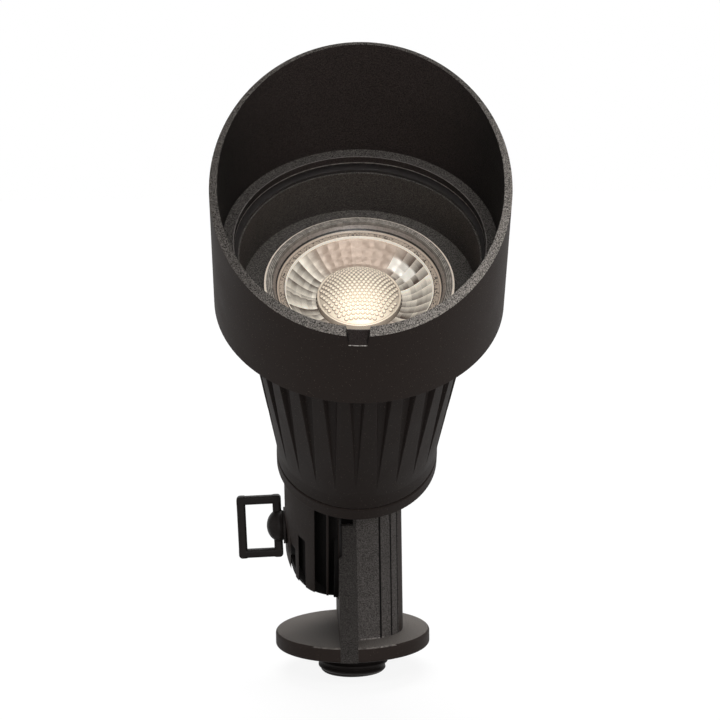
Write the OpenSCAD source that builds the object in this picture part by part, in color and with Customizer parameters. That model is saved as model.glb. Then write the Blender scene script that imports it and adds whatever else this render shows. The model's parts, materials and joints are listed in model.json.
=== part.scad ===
// Landscape spotlight: a round flange with a threaded nipple carries a clamp post.
// A knuckle arm tilts on the post and holds a fluted housing, a 50 mm lamp behind a
// flat lens, and a slant-cut glare cowl that pushes and turns on the housing's mouth.

/* [Base] */
// Diameter of the round flange
flange_d = 46.4; // [44:0.1:54]
// Thickness of the flange
flange_t = 4.5; // [4:0.1:8]
// Radius of the flange's rounded edges
flange_edge_r = 0.8; // [0.2:0.1:1.5]
// Outer diameter of the pipe thread, half inch straight
nipple_d = 21; // [16:0.1:27]
// Length of the nipple below the flange
nipple_len = 8.2; // [6:0.1:20]
// Depth of the nipple's seat in the flange
nipple_seat = 3.4; // [2:0.1:3.6]
// Diameter of the wire bore in the nipple
nipple_bore_d = 12; // [8:0.1:14]

/* [Post] */
// Height of the tilt axis above the flange's underside
hinge_h = 36.6; // [34:0.1:60]
// Distance of the plate's clamp face from the nipple's axis
face_x = 4.3; // [3.5:0.1:6]
// Thickness of the upright plate
plate_t = 5.2; // [4:0.1:7]
// Radius of the panelled half round at the plate's back
post_r = 15.3; // [13:0.1:18]
// Width of the fine grooves between the panels
panel_groove = 0.7; // [0.3:0.1:1.2]
// Diameter of the round recess that holds the arm's disc
recess_d = 46.8; // [46.2:0.1:48]
// Depth of the recess
recess_depth = 1; // [0.6:0.1:1.6]
// Diameter of the wire way in the post
wire_way_d = 5.6; // [4:0.1:6]

/* [Tilt joint] */
// Forward tilt of the head from upright
head_tilt = 39; // [0:1:60]
// Distance of the head's axis from the nipple's axis
head_x = 1.5; // [0:0.1:2.5]
// Diameter of the arm's disc in the recess
disc_d = 43.8; // [43:0.1:45.4]
// Length of the disc proud of the arm's face
disc_proud = 0.5; // [0.2:0.1:0.6]
// Radius of the arm about the head's axis
arm_r = 21.2; // [19:0.1:22.5]
// Depth of the slots in the arm
slot_depth = 3; // [1:0.1:3]
// Distance from the tilt axis to the underside of the arm's collar
collar_s = 30.1; // [28:0.1:40]
// Diameter of the collar
collar_d = 46.2; // [44:0.1:50]
// Height of the collar
collar_h = 4.4; // [2.6:0.1:6]
// Thickness of the gasket between collar and housing
collar_gasket_t = 0.3; // [0.2:0.1:0.8]

/* [Thumb screw] */
// Diameter of the screw's shank
screw_d = 6; // [5:0.1:6.4]
// Thickness of the washer under the screw's boss
washer_t = 0.8; // [0.5:0.1:1.2]
// Diameter of that washer
washer_d = 11; // [10:0.1:13]
// Diameter of the boss of the grip
boss_d = 9.6; // [9:0.1:12]
// Length of the boss
boss_len = 5; // [4:0.1:7]
// Width of the grip's loop, along the screw
loop_w = 13.3; // [11:0.1:20]
// Height of the loop, across the screw
loop_h = 18.8; // [14:0.1:24]
// Thickness of the loop's bars
loop_bar = 2.6; // [2:0.1:3.2]
// Diameter of the threaded insert in the post
insert_d = 8.4; // [8:0.1:10]
// Length of the threaded insert
insert_len = 12; // [8:0.5:14]

/* [Housing] */
// Height of the lamp's seat above the housing's shoulder
seat_h = 2.2; // [1.5:0.1:3]
// Diameter of the housing's smooth foot
foot_d = 46.1; // [44:0.1:50]
// Height of the smooth foot
foot_h = 3.4; // [3:0.1:8]
// Radius gained by the cone for each unit of height
cone_slope = 0.1357; // [0.1:0.001:0.15]
// Length of the fluted cone
cone_len = 56.5; // [50:0.5:60]
// Number of flutes
flute_n = 26; // [18:1:28]
// Width of a flute at the cone's top
flute_w = 4.8; // [3:0.1:5]
// Depth of a flute at the cone's top
flute_depth = 2.1; // [1:0.1:2.4]
// Height above the foot at which the flutes start
flute_start = 2.8; // [1:0.1:10]
// Thickness of the mouth's wall round the lamp's face
mouth_wall = 4.1; // [3.8:0.1:5]
// Height of the mouth
mouth_h = 15.6; // [15:0.1:20]
// Diameter of the lower wiring space
cavity_d = 39; // [36:0.1:40]
// Thickness of the housing's floor
floor_t = 4.4; // [3.5:0.1:6]
// Turn of the housing and cowl about the head's axis
front_turn = -3; // [-10:1:10]

/* [Lamp] */
// Diameter of the lamp's face
lamp_d = 50.2; // [49:0.1:50.8]
// Height of the lamp's rim above its seat
lamp_rim_h = 3.2; // [2.4:0.1:4]
// Length of the lamp from face to the end of its pins
lamp_len = 50; // [48:0.5:52]
// Distance between the pins
pin_pitch = 5.3; // [5:0.1:6.4]
// Diameter of a pin
pin_d = 1.5; // [1.2:0.1:1.6]
// Width of the seat under the lamp's rim
seat_w = 0.8; // [0.7:0.1:1.1]

/* [Lens and cowl] */
// Thickness of the lens
lens_t = 3; // [2:0.1:4]
// Gap between the lens and the cowl's bore, on each side
lens_play = 0.7; // [0.5:0.1:1]
// Thickness of the lens gasket
lens_gasket_t = 0.9; // [0.5:0.1:1.5]
// Outer diameter of the cowl at its lower rim
cowl_d = 76.8; // [74:0.1:84]
// Thickness of the cowl's wall at its lower rim
cowl_wall = 2.8; // [2.2:0.1:3.2]
// Draft of the cowl's outside, taken off its wall at the upper end
cowl_draft = 0.4; // [0:0.1:0.6]
// Radius the cowl's bore gains from the ledge to the middle of the cut
bore_flare = 0.5; // [0:0.1:0.8]
// Thickness of the cowl's wall above the tip of the cut
tip_wall = 0.6; // [0.5:0.1:1.4]
// Width of the cowl's ledge over the lens
ledge_w = 3.1; // [2:0.1:4]
// Thickness of the ledge
ledge_t = 2.2; // [1.5:0.1:3]
// Height of the cowl's lower rim above the housing's shoulder
rim_gap = 0.8; // [0.5:0.1:2.5]
// Height of the slanted cut above the ledge, at the axis
cut_h = 18.8; // [16.5:0.1:40]
// Angle of the slanted cut
cut_angle = 22.1; // [0:0.1:22.5]
// Width of the drain notch at the lip
notch_w = 6; // [3:0.1:8]
// Width of the drain notch at its floor
notch_floor_w = 4.6; // [2.5:0.1:6]
// Thickness of the O-rings
o_ring_t = 2.4; // [2:0.1:2.8]

/* [Hidden] */
$fn = 96;

// Clearances: sliding fit, seated fit and free gap
slide_gap = 0.3;
fit_gap = 0.05;
face_gap = 0.3;
touch_gap = 0.01;
cut = 1;

// Joint planes along X
face_plane = -face_x;
recess_plane = face_plane + recess_depth;
arm_plane = face_plane - face_gap;
disc_plane = arm_plane + disc_proud;
disc_t = 1;
hub_plane = head_x - arm_r + 0.3;
boss_plane = hub_plane - washer_t;
loop_plane = boss_plane - 0.4;

// Wire ring pocket in the arm, round the tilt axis
way_r = 11.4;
pocket_in_r = way_r - wire_way_d / 2;
pocket_out_r = way_r + wire_way_d / 2;
pocket_plane = disc_plane - 5;
bore_x = -8.2;
dome_len = 16.2;
hub_r = 9;

// Relief in the front of the plate: height above the tilt axis and sizes
relief_z = 4.5;
relief_w = 3.2;
relief_h = 2.6;
relief_depth = 2.2;

// Recess in the flange's underside, round the nipple
nipple_relief_t = 0.5;

// Diameters of cowl and mouth, from the cowl's outside to the inside
cowl_top_d = cowl_d - 2 * cowl_draft;
cowl_bore_d = cowl_d - 2 * cowl_wall;
ledge_d = cowl_bore_d - 2 * ledge_w;
lens_d = cowl_bore_d - 2 * lens_play;
mouth_d = cowl_bore_d - 2 * slide_gap;
cup_d = mouth_d - 2 * mouth_wall;

// Lamp: the opening it hangs through, the rings of its face, and its inner parts
seat_d = lamp_d - 2 * seat_w;
glass_in_r = lamp_d / 2 - 2.2;
optic_r = glass_in_r - 0.2;
mirror_r = optic_r - 3.3;
centre_r = mirror_r - 8.9;
glass_wall = 1.2;
cup_depth = 28.2;
pin_len = 7.5;
neck_r = 9.6;
cup_inset = 0.9;
plug_h = 3;
board_s = 4;
board_r = 8;
board_t = 1.2;
emitter_r = 4.5;
emitter_t = 0.8;
optic_foot_r = 6;
optic_foot_s = 6.4;
optic_hip_r = 7.5;
optic_hip_s = 9;
bead_w = 2.2;
bead_inset = 1.9;
mirror_inset = 2.4;
centre_inset = 3.6;
centre_crown = 1;
throat_h = 12;

// Levels along the head's axis, measured from the tilt axis
collar_top = collar_s + collar_h;
foot_s = collar_top + collar_gasket_t;
cone_s = foot_s + foot_h;
foot_r = foot_d / 2;
shoulder_s = cone_s + cone_len;
cone_top_r = foot_r + cone_slope * cone_len;
mouth_s = shoulder_s + mouth_h;
floor_s = foot_s + floor_t;
seat_s = shoulder_s + seat_h;
face_s = seat_s + lamp_rim_h;
lens_s = mouth_s + lens_gasket_t;
ledge_s = lens_s + lens_t;
ledge_top = ledge_s + ledge_t;
cowl_s = shoulder_s + rim_gap;
cut_s = ledge_top + cut_h;
flute_s = cone_s + flute_start;
flute_end_s = shoulder_s - 0.5;
base_s = face_s - cup_depth;
base_end_s = face_s - lamp_len + pin_len;
pin_end_s = face_s - lamp_len;
socket_top_s = base_end_s - 0.5;
socket_s = pin_end_s - 4;
o_ring_levels = [shoulder_s + 5, shoulder_s + 11.2];

// Directions of the post's fine grooves about its axis, from the front
panel_angles = [32, 48.5, 62, 76, 90];

// Slots of the arm: start and end along X, the height where each stops, and its depth.
// In the dome they run out to a smaller depth
slot_foot_depth = 0.5;
side_slot_depth = 1.4;
arm_slots = [
    [-18.1, -16.8, 2, side_slot_depth], [-15.8, -13.9, 10.4, side_slot_depth],
    [-11.2, -7.8, collar_s, slot_depth], [-7.2, arm_plane + cut, collar_s, slot_depth]];

// Screws that hold the arm: places and sizes
arm_screw_d = 4;
arm_screw_len = floor_t + collar_gasket_t + collar_h - 0.7;
arm_screw_head_d = 7;
arm_screw_head_h = 2.4;
arm_screw_hex_d = 3.4;
arm_screw_r = cavity_d / 2 - arm_screw_head_d / 2 - 1;
arm_screw_angles = [0, 127, 233];
arm_screw_places = [for (a = arm_screw_angles) arm_screw_r * [cos(a), sin(a)]];

// Bracket under the socket: sheet, legs, feet and screws
bracket_t = 1;
bracket_w = 10;
bracket_leg_y = 9.6;
bracket_foot_y = 13.6;
bracket_end_y = 17;
bracket_screw_d = 3;
bracket_screw_depth = 2.8;
bracket_screw_head_d = 5.4;
bracket_screw_head_h = 1.8;

// Plug shape shared by the lamp's base and the socket
plug_w = 17;
plug_depth = 10;
plug_corner_r = 2;

// Leads, grommet and the screw's seat in the grip
lead_r = 0.8;
lead_rise = 4;
grommet_d = wire_way_d + 2.4;
grommet_lip_d = wire_way_d + 4.4;
shank_seat = 1.6;

// Grip: height of the boss's dome, and section and turn of the loop
dome_h = 3.9;
bar_edge_r = 0.8;
loop_corner_r = 1.1;
loop_turn = 1.5;

bronze = [0.20, 0.17, 0.155];
bronze_dark = [0.15, 0.13, 0.12];
rubber = [0.06, 0.06, 0.06];
steel = [0.62, 0.62, 0.60];
brass = [0.72, 0.58, 0.30];
glass = [0.80, 0.88, 0.92, 0.45];

// Frame of the tilting head: origin on the tilt axis, height along the head's axis
module head_frame() {
    translate([0, 0, hinge_h]) rotate([head_tilt, 0, 0]) children();
}

module head_axis() {
    head_frame() translate([head_x, 0, 0]) children();
}

// Cylinder along X between two planes, centred on the origin
module x_rod(r, x0, x1) {
    translate([x0, 0, 0]) rotate([0, 90, 0]) cylinder(r = r, h = x1 - x0);
}

// Ring of rectangular section
module ring(r_in, r_out, h) {
    difference() {
        cylinder(r = r_out, h = h);
        translate([0, 0, -cut]) cylinder(r = r_in, h = h + 2 * cut);
    }
}

// Rectangle with round corners, made of squares and circles
module round_rect(w, h, r) {
    square([w - 2 * r, h], center = true);
    square([w, h - 2 * r], center = true);
    for (x = [-1, 1], y = [-1, 1])
        translate([x * (w / 2 - r), y * (h / 2 - r)]) circle(r = r, $fn = 32);
}

// Round wire through a list of points: one ring of corners at each point
function unit(v) = v / norm(v);
function wire_ring(points, i, r, sides) =
    let (last = len(points) - 1,
         before = unit(points[max(i, 1)] - points[max(i, 1) - 1]),
         after = unit(points[min(i, last - 1) + 1] - points[min(i, last - 1)]),
         along = unit(before + after),
         across = unit(cross(along, [0, 1, 0])),
         stretch = 1 / (along * after))
    [for (k = [0 : sides - 1]) let (a = 360 * k / sides)
        points[i] + r * (stretch * cos(a) * across + sin(a) * cross(along, across))];

module wire(points, r, sides = 10) {
    n = len(points);
    polyhedron(
        points = [for (i = [0 : n - 1]) each wire_ring(points, i, r, sides)],
        faces = concat(
            [[for (k = [0 : sides - 1]) k]],
            [for (i = [0 : n - 2], k = [0 : sides - 1]) let (m = (k + 1) % sides)
                [i * sides + k, (i + 1) * sides + k, (i + 1) * sides + m, i * sides + m]],
            [[for (k = [sides - 1 : -1 : 0]) (n - 1) * sides + k]]));
}

// Plan of the post: upright plate and panelled half round
module post_plan() {
    back_angles = [for (i = [len(panel_angles) - 2 : -1 : 0]) 180 - panel_angles[i]];
    intersection() {
        circle(d = flange_d);
        translate([-face_x, -flange_d / 2]) square([plate_t, flange_d]);
    }
    difference() {
        polygon([for (a = concat([0], panel_angles, back_angles, [180]))
            post_r * [sin(a), -cos(a)]]);
        for (a = concat(panel_angles, back_angles))
            rotate(a) translate([0, -post_r]) rotate(45) square(panel_groove, center = true);
    }
}

module flange_form() {
    r = flange_d / 2;
    e = flange_edge_r;
    rotate_extrude() {
        square([r - e, flange_t]);
        translate([0, e]) square([r, flange_t - 2 * e]);
        for (y = [e, flange_t - e])
            translate([r - e, y]) circle(r = e, $fn = 32);
    }
}

module stem_base() {
    color(bronze) difference() {
        union() {
            flange_form();
            intersection() {
                linear_extrude(hinge_h + flange_d) post_plan();
                union() {
                    translate([-flange_d, -flange_d, 0]) cube([2 * flange_d, 2 * flange_d, hinge_h]);
                    translate([0, 0, hinge_h]) x_rod(flange_d / 2, -flange_d, flange_d);
                }
            }
        }
        translate([0, 0, hinge_h]) {
            x_rod(recess_d / 2, face_plane - cut, recess_plane);
            x_rod(insert_d / 2 + fit_gap, recess_plane - cut, recess_plane + insert_len + fit_gap);
            x_rod(screw_d / 2 + slide_gap, recess_plane, post_r - 2);
            translate([0, 0, -way_r]) x_rod(wire_way_d / 2, recess_plane - cut, wire_way_d / 2);
        }
        translate([wire_way_d / 2, 0, -cut])
            cylinder(d = wire_way_d + 1.4, h = hinge_h - way_r + wire_way_d / 2 + 0.8 + cut);
        translate([0, 0, -cut]) cylinder(d = nipple_d - 1 + 2 * fit_gap, h = nipple_seat + cut);
        translate([0, 0, -cut]) cylinder(d = nipple_d + 2 * slide_gap, h = nipple_relief_t + cut);
        translate([recess_plane - cut, -flange_d / 2 - cut, hinge_h + relief_z])
            cube([relief_w + cut, relief_depth + cut, relief_h]);
    }
}

module threaded_nipple() {
    color(bronze_dark) translate([0, 0, -nipple_len])
        difference() {
            union() {
                cylinder(d = nipple_d, h = nipple_len);
                cylinder(d = nipple_d - 1, h = nipple_len + nipple_seat);
            }
            translate([0, 0, -cut]) cylinder(d = nipple_bore_d, h = nipple_len + nipple_seat + 2 * cut);
        }
}

module pivot_insert() {
    color(brass) translate([0, 0, hinge_h]) difference() {
        x_rod(insert_d / 2, recess_plane, recess_plane + insert_len);
        x_rod(screw_d / 2 + fit_gap, recess_plane - cut, recess_plane + insert_len + cut);
    }
}

module pivot_gasket() {
    color(rubber) translate([recess_plane, 0, hinge_h]) rotate([0, -90, 0])
        ring(pocket_out_r + 2, disc_d / 2 - 1, recess_plane - disc_plane);
}

module friction_washer() {
    color([0.30, 0.22, 0.16]) translate([recess_plane, 0, hinge_h]) rotate([0, -90, 0])
        ring(insert_d / 2 + slide_gap, pocket_in_r - 0.4, recess_plane - disc_plane);
}

module screw_washer() {
    color(steel) translate([hub_plane, 0, hinge_h]) rotate([0, -90, 0])
        ring(screw_d / 2 + slide_gap, washer_d / 2, washer_t);
}

module thumb_screw() {
    color(steel) translate([0, 0, hinge_h])
        x_rod(screw_d / 2, boss_plane - boss_len + shank_seat, recess_plane + insert_len - 1);
}

// Bar of the loop: a square section with round edges, along Z, centred on its axis
module loop_rod(len) {
    linear_extrude(len, center = true) round_rect(loop_bar, loop_bar, bar_edge_r);
}

// Loop in the XZ plane: four bars that meet in its corners
module grip_loop() {
    rail = (loop_w - loop_bar) / 2;
    rung = (loop_h - loop_bar) / 2;
    intersection() {
        union() {
            for (x = [-rail, rail]) translate([x, 0, 0]) loop_rod(loop_h);
            for (z = [-rung, rung]) translate([0, 0, z]) rotate([0, 90, 0]) loop_rod(loop_w);
        }
        rotate([90, 0, 0]) linear_extrude(2 * loop_bar, center = true) round_rect(loop_w, loop_h, loop_corner_r);
    }
}

module thumb_grip() {
    steps = 12;
    color(bronze_dark) translate([0, 0, hinge_h]) difference() {
        union() {
            translate([boss_plane, 0, 0]) rotate([0, -90, 0]) rotate_extrude()
                polygon(concat([[0, 0], [boss_d / 2 - 0.4, 0]],
                    [for (i = [0 : steps]) let (a = 90 * i / steps)
                        [boss_d / 2 * cos(a), boss_len - dome_h + dome_h * sin(a)]]));
            translate([loop_plane, 0, 0]) rotate([0, -loop_turn, 0])
                translate([-loop_w / 2, 0, 0]) grip_loop();
        }
        x_rod(screw_d / 2 + fit_gap, boss_plane - boss_len + shank_seat - fit_gap, boss_plane + cut);
    }
}

// Solid form of the arm: half a column with a domed lower end. The insets draw them in
module arm_form(inset = 0, dome_inset = 0) {
    points = 20;
    dome_r = disc_d / 2 - 0.4 - dome_inset;
    dome_x = dome_len - dome_inset;
    intersection() {
        translate([head_x, 0, -disc_d]) cylinder(r = arm_r - inset, h = disc_d + collar_s + cut);
        translate([-2 * disc_d, -disc_d, -disc_d]) cube([2 * disc_d + arm_plane, 2 * disc_d, 3 * disc_d]);
        union() {
            translate([arm_plane, 0, 0]) rotate([0, -90, 0]) rotate_extrude()
                polygon(concat([[0, 0]],
                    [for (i = [0 : points]) let (a = 90 * i / points)
                        [dome_r * pow(cos(a), 0.86), dome_x * pow(sin(a), 0.86)]]));
            translate([-2 * disc_d, -disc_d, 0]) cube([3 * disc_d, 2 * disc_d, 2 * disc_d]);
        }
    }
}

module knuckle_arm() {
    slot_y = 4;
    color(bronze) head_frame() difference() {
        union() {
            difference() {
                arm_form();
                for (s = arm_slots, side = [-1, 1])
                    difference() {
                        translate([s[0], side > 0 ? slot_y : -slot_y - disc_d, -disc_d])
                            cube([s[1] - s[0], disc_d, disc_d + s[2]]);
                        arm_form(s[3], slot_foot_depth);
                    }
            }
            x_rod(disc_d / 2, arm_plane - disc_t, disc_plane);
            x_rod(hub_r, hub_plane + 1.2, arm_plane);
            translate([head_x, 0, collar_s]) rotate_extrude() {
                e = 0.4;
                r = collar_d / 2;
                square([r - e, collar_h]);
                translate([0, e]) square([r, collar_h - 2 * e]);
                for (y = [e, collar_h - e])
                    translate([r - e, y]) circle(r = e, $fn = 24);
            }
        }
        x_rod(screw_d / 2 + slide_gap, -2 * disc_d, disc_plane + cut);
        x_rod(washer_d / 2 + 0.5, -2 * disc_d, hub_plane);
        difference() {
            x_rod(pocket_out_r, pocket_plane, disc_plane + cut);
            x_rod(pocket_in_r, pocket_plane - cut, disc_plane + 2 * cut);
        }
        translate([bore_x, 0, way_r]) cylinder(d = wire_way_d, h = collar_top);
        for (p = arm_screw_places)
            translate([head_x + p[0], p[1], foot_s - arm_screw_len + floor_t - fit_gap])
                cylinder(d = arm_screw_d + 2 * fit_gap, h = arm_screw_len);
    }
}

module collar_gasket() {
    color(rubber) head_axis() translate([0, 0, collar_top])
        ring(arm_screw_r + arm_screw_d / 2 + 0.5, foot_r - 0.5, collar_gasket_t);
}

module arm_screws() {
    color(steel) head_axis() for (p = arm_screw_places)
        translate([p[0], p[1], floor_s]) {
            translate([0, 0, -arm_screw_len]) cylinder(d = arm_screw_d, h = arm_screw_len + 0.2);
            difference() {
                cylinder(d = arm_screw_head_d, h = arm_screw_head_h);
                translate([0, 0, 1]) cylinder(d = arm_screw_hex_d, h = arm_screw_head_h, $fn = 6);
            }
        }
}

// One flute: a wedge that widens and deepens from its lower point to the shoulder
module flute() {
    over = 1;
    run = flute_end_s - flute_s;
    r0 = foot_r + cone_slope * (flute_s - cone_s);
    r1 = foot_r + cone_slope * (flute_end_s - cone_s);
    floor_w = flute_w * 0.6;
    flare = (flute_w - floor_w) / 2 / flute_depth;
    w0 = flare * over;
    w1 = flute_w / 2 + flare * over;
    polyhedron(
        points = [
            [0, -r0, 0], [-w0, -r0 - over, 0], [w0, -r0 - over, 0],
            [-floor_w / 2, -r1 + flute_depth, run], [floor_w / 2, -r1 + flute_depth, run],
            [w1, -r1 - over, run], [-w1, -r1 - over, run]],
        faces = [[0, 1, 2], [3, 4, 5, 6], [0, 4, 3], [0, 2, 5, 4], [0, 3, 6, 1], [1, 6, 5, 2]]);
}

module o_ring_groove(s) {
    difference() {
        translate([0, 0, s - o_ring_t / 2 - 0.2]) cylinder(r = mouth_d, h = o_ring_t + 0.4);
        translate([0, 0, s - o_ring_t]) cylinder(r = cowl_bore_d / 2 - o_ring_t, h = 2 * o_ring_t);
    }
}

module housing() {
    blend = 6;
    turn = atan(cone_slope);
    color(bronze) head_axis() rotate(front_turn) difference() {
        union() {
            rotate_extrude() polygon(concat(
                [[0, foot_s], [foot_r - 0.4, foot_s], [foot_r, foot_s + 0.4]],
                [for (i = [0 : blend]) let (a = turn * i / blend, q = foot_h)
                    [foot_r + q / sin(turn) * (1 - cos(a)) * 0.5,
                     cone_s - q / 2 + q / sin(turn) * sin(a)]],
                [[cone_top_r, shoulder_s], [cone_top_r, shoulder_s + cut], [0, shoulder_s + cut]]));
            translate([0, 0, shoulder_s]) cylinder(d = mouth_d, h = mouth_h);
        }
        for (i = [0 : flute_n - 1])
            rotate(i * 360 / flute_n) translate([0, 0, flute_s]) flute();
        for (s = o_ring_levels) o_ring_groove(s);
        translate([0, 0, seat_s]) cylinder(d = cup_d, h = mouth_h + cut);
        translate([0, 0, base_s + throat_h]) cylinder(d = seat_d, h = face_s);
        translate([0, 0, base_s]) cylinder(d1 = cavity_d, d2 = seat_d, h = throat_h);
        translate([0, 0, floor_s]) cylinder(d = cavity_d, h = base_s - floor_s + 0.01);
        rotate(-front_turn) {
            for (p = arm_screw_places)
                translate([p[0], p[1], 0]) cylinder(d = arm_screw_d + 2 * slide_gap, h = floor_s + cut);
            for (side = [-1, 1])
                translate([0, side * bracket_foot_y, floor_s - bracket_screw_depth - 0.2])
                    cylinder(d = bracket_screw_d + 2 * fit_gap, h = bracket_screw_depth + 0.2 + cut);
            translate([bore_x - head_x, 0, 0]) cylinder(d = grommet_d, h = floor_s + cut);
        }
    }
}

module mouth_o_rings() {
    color(rubber) head_axis() for (s = o_ring_levels)
        translate([0, 0, s]) rotate_extrude()
            translate([cowl_bore_d / 2 - fit_gap - o_ring_t / 2 + 0.02, 0]) circle(d = o_ring_t - 0.1, $fn = 32);
}

module wire_grommet() {
    color(rubber) head_axis() translate([bore_x - head_x, 0, foot_s]) difference() {
        union() {
            cylinder(d = grommet_d - 2 * fit_gap, h = floor_t);
            translate([0, 0, floor_t]) cylinder(d = grommet_lip_d, h = 1.2);
        }
        translate([0, 0, -cut]) cylinder(d = wire_way_d - 1, h = floor_t + 4);
    }
}

module socket_bracket() {
    w = bracket_w;
    color(steel) head_axis() difference() {
        union() {
            translate([-w / 2, -bracket_leg_y, socket_s - bracket_t])
                cube([w, 2 * bracket_leg_y, bracket_t]);
            for (side = [-1, 1]) {
                translate([-w / 2, side * (bracket_leg_y - bracket_t / 2) - bracket_t / 2, floor_s])
                    cube([w, bracket_t, socket_s - floor_s]);
                translate([-w / 2, side > 0 ? bracket_leg_y - bracket_t : -bracket_end_y, floor_s])
                    cube([w, bracket_end_y - bracket_leg_y + bracket_t, bracket_t]);
            }
        }
        for (side = [-1, 1])
            translate([0, side * bracket_foot_y, floor_s - cut])
                cylinder(d = bracket_screw_d + 2 * slide_gap, h = 3 * cut);
        translate([0, 0, socket_s - 2 * bracket_t]) cylinder(d = 7, h = 3 * bracket_t);
    }
}

module bracket_screws() {
    color(steel) head_axis() for (side = [-1, 1])
        translate([0, side * bracket_foot_y, floor_s]) {
            translate([0, 0, -bracket_screw_depth])
                cylinder(d = bracket_screw_d, h = bracket_screw_depth + bracket_t + 0.2);
            translate([0, 0, bracket_t]) difference() {
                cylinder(d = bracket_screw_head_d, h = bracket_screw_head_h);
                translate([-0.4, -bracket_screw_head_d, 1]) cube([0.8, 2 * bracket_screw_head_d, 2]);
            }
        }
}

module lamp_socket() {
    h = socket_top_s - socket_s;
    color([0.86, 0.84, 0.78]) head_axis() translate([0, 0, socket_s]) difference() {
        linear_extrude(h) round_rect(plug_w, plug_depth, plug_corner_r);
        for (x = [-1, 1]) translate([x * pin_pitch / 2, 0, 1]) cylinder(d = 3.2, h = h);
        for (x = [-1, 1]) translate([x * pin_pitch / 2, 0, -cut]) cylinder(d = 2.2, h = 3 * cut);
    }
}

module socket_contacts() {
    h = socket_top_s - socket_s - 3;
    color(brass) head_axis() for (x = [-1, 1])
        translate([x * pin_pitch / 2, 0, socket_s + 1.2])
            difference() {
                cylinder(d = 3, h = h);
                translate([0, 0, 1]) cylinder(d = pin_d + 2 * fit_gap, h = h);
            }
}

module socket_leads() {
    x_way = bore_x - head_x;
    y_way = lead_r + 0.3;
    color([0.80, 0.78, 0.72]) head_axis() for (side = [-1, 1])
        wire([[side * pin_pitch / 2, 0, socket_s + 1.2],
              [side * pin_pitch / 2, 0, socket_s - 3],
              [side * y_way - 3, side * y_way, socket_s - 5],
              [x_way, side * y_way, floor_s + lead_rise],
              [x_way, side * y_way, way_r + lead_rise]], lead_r);
}

// Radius of the lamp's cup at a height above its lower end
function cup_r(t) = neck_r + (seat_d / 2 - cup_inset - neck_r) * sqrt(t);

module lamp_cup() {
    steps = 14;
    run = seat_s - base_s;
    color(glass) head_axis() rotate_extrude() polygon(concat(
        [for (i = [0 : steps]) [cup_r(i / steps), base_s + run * i / steps]],
        [[lamp_d / 2, seat_s], [lamp_d / 2, face_s - 0.4], [lamp_d / 2 - 0.4, face_s], [glass_in_r, face_s],
         [glass_in_r, face_s - 1.6]],
        [for (i = [steps : -1 : 0])
            [cup_r(i / steps) - glass_wall, base_s + (run + lamp_rim_h - 1.8) * i / steps]]));
}

module lamp_base() {
    color([0.88, 0.87, 0.83]) head_axis() {
        translate([0, 0, base_end_s]) linear_extrude(base_s - base_end_s)
            round_rect(plug_w, plug_depth, plug_corner_r);
        translate([0, 0, base_s - plug_h]) cylinder(r = cup_r(0), h = plug_h);
        translate([0, 0, base_s]) cylinder(r = cup_r(0) - glass_wall - 0.1, h = board_s);
    }
}

module lamp_pins() {
    color(steel) head_axis() for (x = [-1, 1])
        translate([x * pin_pitch / 2, 0, pin_end_s]) cylinder(d = pin_d, h = base_end_s - pin_end_s, $fn = 24);
}

module lamp_board() {
    color([0.90, 0.88, 0.70]) head_axis() translate([0, 0, base_s + board_s]) {
        cylinder(r = board_r, h = board_t);
        translate([0, 0, board_t]) cylinder(r = emitter_r, h = emitter_t);
    }
}

module lamp_optic() {
    land_top = face_s - 0.7;
    land_low = face_s - 1.4;
    neck_in = 1.4;
    neck_low = face_s - 3;
    cone_low = face_s - 5.4;
    groove = 0.6;
    color([0.95, 0.93, 0.86, 0.6]) head_axis() rotate_extrude() polygon([
        [0, base_s + optic_foot_s], [optic_foot_r, base_s + optic_foot_s],
        [optic_hip_r, base_s + optic_hip_s], [mirror_r, cone_low], [optic_r - neck_in, neck_low],
        [optic_r - neck_in, land_low], [optic_r, land_low], [optic_r, land_top],
        [mirror_r + bead_w, face_s - bead_inset], [mirror_r, face_s - bead_inset],
        [mirror_r, face_s - mirror_inset], [centre_r, face_s - centre_inset - groove],
        [centre_r, face_s - centre_inset], [0, face_s - centre_inset + centre_crown]]);
}

module lens() {
    color(glass) head_axis() translate([0, 0, lens_s]) rotate_extrude()
        polygon([[0, 0], [lens_d / 2 - 0.4, 0], [lens_d / 2, 0.4], [lens_d / 2, lens_t - 0.4],
                 [lens_d / 2 - 0.4, lens_t], [0, lens_t]]);
}

module lens_gasket() {
    color(rubber) head_axis() translate([0, 0, mouth_s + touch_gap])
        ring(cup_d / 2 + 0.4, lens_d / 2, lens_gasket_t - touch_gap);
}

module cowl() {
    lip = 0.3;
    high_s = cut_s + tan(cut_angle) * cowl_d / 2 + cut;
    bore_r = cowl_bore_d / 2;
    color(bronze) head_axis() rotate(front_turn) difference() {
        rotate_extrude() polygon([
            [bore_r, cowl_s], [cowl_d / 2 - lip, cowl_s], [cowl_d / 2, cowl_s + lip],
            [cowl_top_d / 2, high_s], [cowl_top_d / 2 - tip_wall, high_s],
            [bore_r + bore_flare, cut_s], [bore_r, ledge_top], [ledge_d / 2, ledge_top],
            [ledge_d / 2, ledge_s], [bore_r, ledge_s]]);
        translate([0, 0, cut_s]) rotate([cut_angle, 0, 0])
            translate([-cowl_d, -cowl_d, 0]) cube([2 * cowl_d, 2 * cowl_d, cowl_d]);
        translate([0, -ledge_d / 2 + 2, ledge_top]) rotate([90, 0, 0])
            linear_extrude(cowl_d)
                polygon([[-notch_floor_w / 2, 0], [notch_floor_w / 2, 0],
                         [notch_w / 2 + 0.6, 8], [-notch_w / 2 - 0.6, 8]]);
    }
}

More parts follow.
